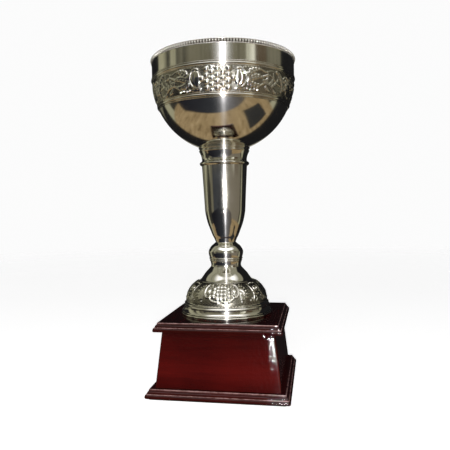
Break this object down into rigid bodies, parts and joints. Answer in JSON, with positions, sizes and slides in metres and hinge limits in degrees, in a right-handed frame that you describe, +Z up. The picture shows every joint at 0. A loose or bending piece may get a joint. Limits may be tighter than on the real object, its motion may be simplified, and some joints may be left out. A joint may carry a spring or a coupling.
{
  "type": "cup trophy",
  "caption": "Silver-plated cup trophy: deep bowl with beaded rim and embossed fruit band, slender stem and domed foot on a square moulded mahogany plinth.",
  "frame": {"origin": "centre of the felt pad's underside, where the trophy stands", "axes": "+Z up through the bowl, +X to the right and -Y out of the plinth's front panel"},
  "size_m": [0.1392, 0.1392, 0.3112],
  "materials": {
    "silver_plate": "bright silver plate, faintly tarnished in the recesses",
    "fastener_steel": "zinc-plated",
    "mahogany_lacquer": "dark red gloss lacquer with slight orange peel",
    "bare_wood": "sawn, unfinished",
    "felt": "dark green felt"
  },
  "bodies": {
    "root": {"bowl": "silver_plate", "rim_bead_wire": "silver_plate", "band_top_wire": "silver_plate", "pressed_band": "silver_plate", "band_bottom_wire": "silver_plate", "bowl_boss": "silver_plate", "bowl_collar": "silver_plate", "stem": "silver_plate", "knop": "silver_plate", "neck": "silver_plate", "foot_shell": "silver_plate", "foot_rim_wire": "silver_plate", "tie_rod": "fastener_steel", "foot_washer": "fastener_steel", "foot_nut": "fastener_steel", "plinth_washer": "fastener_steel", "plinth_nut": "fastener_steel", "plinth_top_board": "mahogany_lacquer", "plinth_front_panel": "mahogany_lacquer", "plinth_right_panel": "mahogany_lacquer", "plinth_back_panel": "mahogany_lacquer", "plinth_left_panel": "mahogany_lacquer", "plinth_base_board": "mahogany_lacquer", "glue_block_front_left": "bare_wood", "glue_block_front_right": "bare_wood", "glue_block_back_right": "bare_wood", "glue_block_back_left": "bare_wood", "base_screw_front_left": "fastener_steel", "base_screw_front_right": "fastener_steel", "base_screw_back_right": "fastener_steel", "base_screw_back_left": "fastener_steel", "felt_pad": "felt"}
  },
  "joints": []
}
